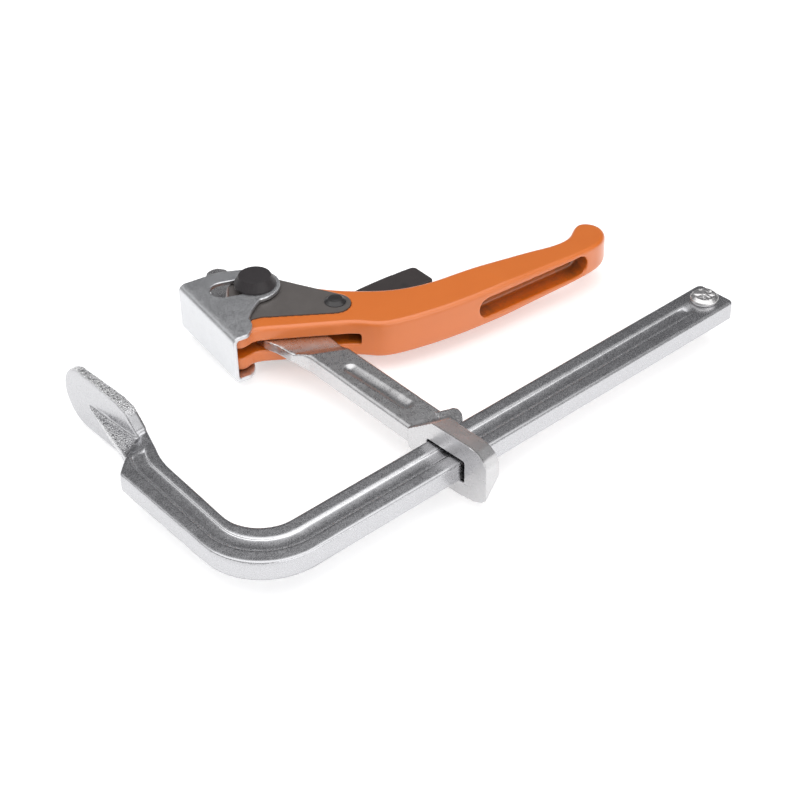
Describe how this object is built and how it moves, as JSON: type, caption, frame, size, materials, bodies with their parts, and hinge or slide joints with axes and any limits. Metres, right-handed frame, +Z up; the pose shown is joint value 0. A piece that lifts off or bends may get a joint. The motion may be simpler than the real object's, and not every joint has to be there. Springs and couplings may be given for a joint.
{
  "type": "lever clamp",
  "caption": "All-steel lever clamp: a bent rail ends in a forged fixed jaw, a sliding arm carries a forked cast lever with ratchet and release trigger, and the lever pushes a folded sheet shoe",
  "frame": {"origin": "The middle of the fixed jaw's clamping face.", "axes": "+X runs along the rail from the fixed jaw to the free end and is the jaw face's outward normal. +Y runs from the rail to the lever's pivot. +Z is up: the clamp lies on its side, with the rail's middle plane at Z = 0."},
  "size_m": [0.2746, 0.1997, 0.033],
  "materials": {
    "rail_steel": "bright zinc-plated rolled steel",
    "stop_rivet_steel": "bright plated, dimpled head",
    "arm_steel": "bright zinc-plated forging with a fine grain",
    "handle_paint": "satin orange powder coat on a casting",
    "plate_steel": "dark phosphated sheet steel, matt",
    "shoe_steel": "satin zinc-plated sheet steel",
    "black_rivet": "black oxide, satin",
    "pawl_steel": "hardened steel, dark",
    "trigger_plastic": "matt black moulded plastic",
    "pin_steel": "ground steel",
    "spring_steel": "spring steel wire"
  },
  "bodies": {
    "rail": {"rail_bar": "rail_steel", "rail_stop_rivet": "stop_rivet_steel"},
    "arm": {"sliding_arm": "arm_steel"},
    "rivet": {"pivot_rivet": "black_rivet"},
    "shoe": {"pressure_shoe": "shoe_steel"},
    "handle": {"lever_handle": "handle_paint", "cheek_plate_upper": "plate_steel", "cheek_plate_lower": "plate_steel", "pawl_rivet": "black_rivet", "pawl_spring": "spring_steel"},
    "pawl": {"ratchet_pawl": "pawl_steel", "release_trigger": "trigger_plastic", "trigger_pin": "pin_steel"}
  },
  "joints": [
    {"name": "arm_slide", "type": "slide", "parent": "rail", "child": "arm", "axis": [1, 0, 0], "range_m": [-0.057, 0.139]},
    {"name": "handle_swing", "type": "hinge", "parent": "arm", "child": "handle", "pos_m": [0.094, 0.015, 0], "axis": [0, 0, 1], "range_deg": [0, 65]},
    {"name": "shoe_swivel", "type": "hinge", "parent": "arm", "child": "rivet", "pos_m": [0.094, 0.015, 0], "axis": [0, 0, 1], "range_deg": [0, 10.1]},
    {"name": "shoe_slide", "type": "slide", "parent": "rivet", "child": "shoe", "axis": [0.913, -0.408, 0], "range_m": [0, 0.008]},
    {"name": "trigger_press", "type": "hinge", "parent": "handle", "child": "pawl", "pos_m": [0.1128, -0.0178, 0], "axis": [0, 0, 1], "range_deg": [-4.2, 0], "stiffness_Nm_per_rad": 1, "springref_deg": 5.73, "deforming": ["pawl_spring"]}
  ],
  "couplings": [
    {"joint": "shoe_swivel", "follows": "handle_swing", "ratio": 0.155},
    {"joint": "shoe_slide", "follows": "handle_swing", "m_per_rad": 0.007}
  ]
}
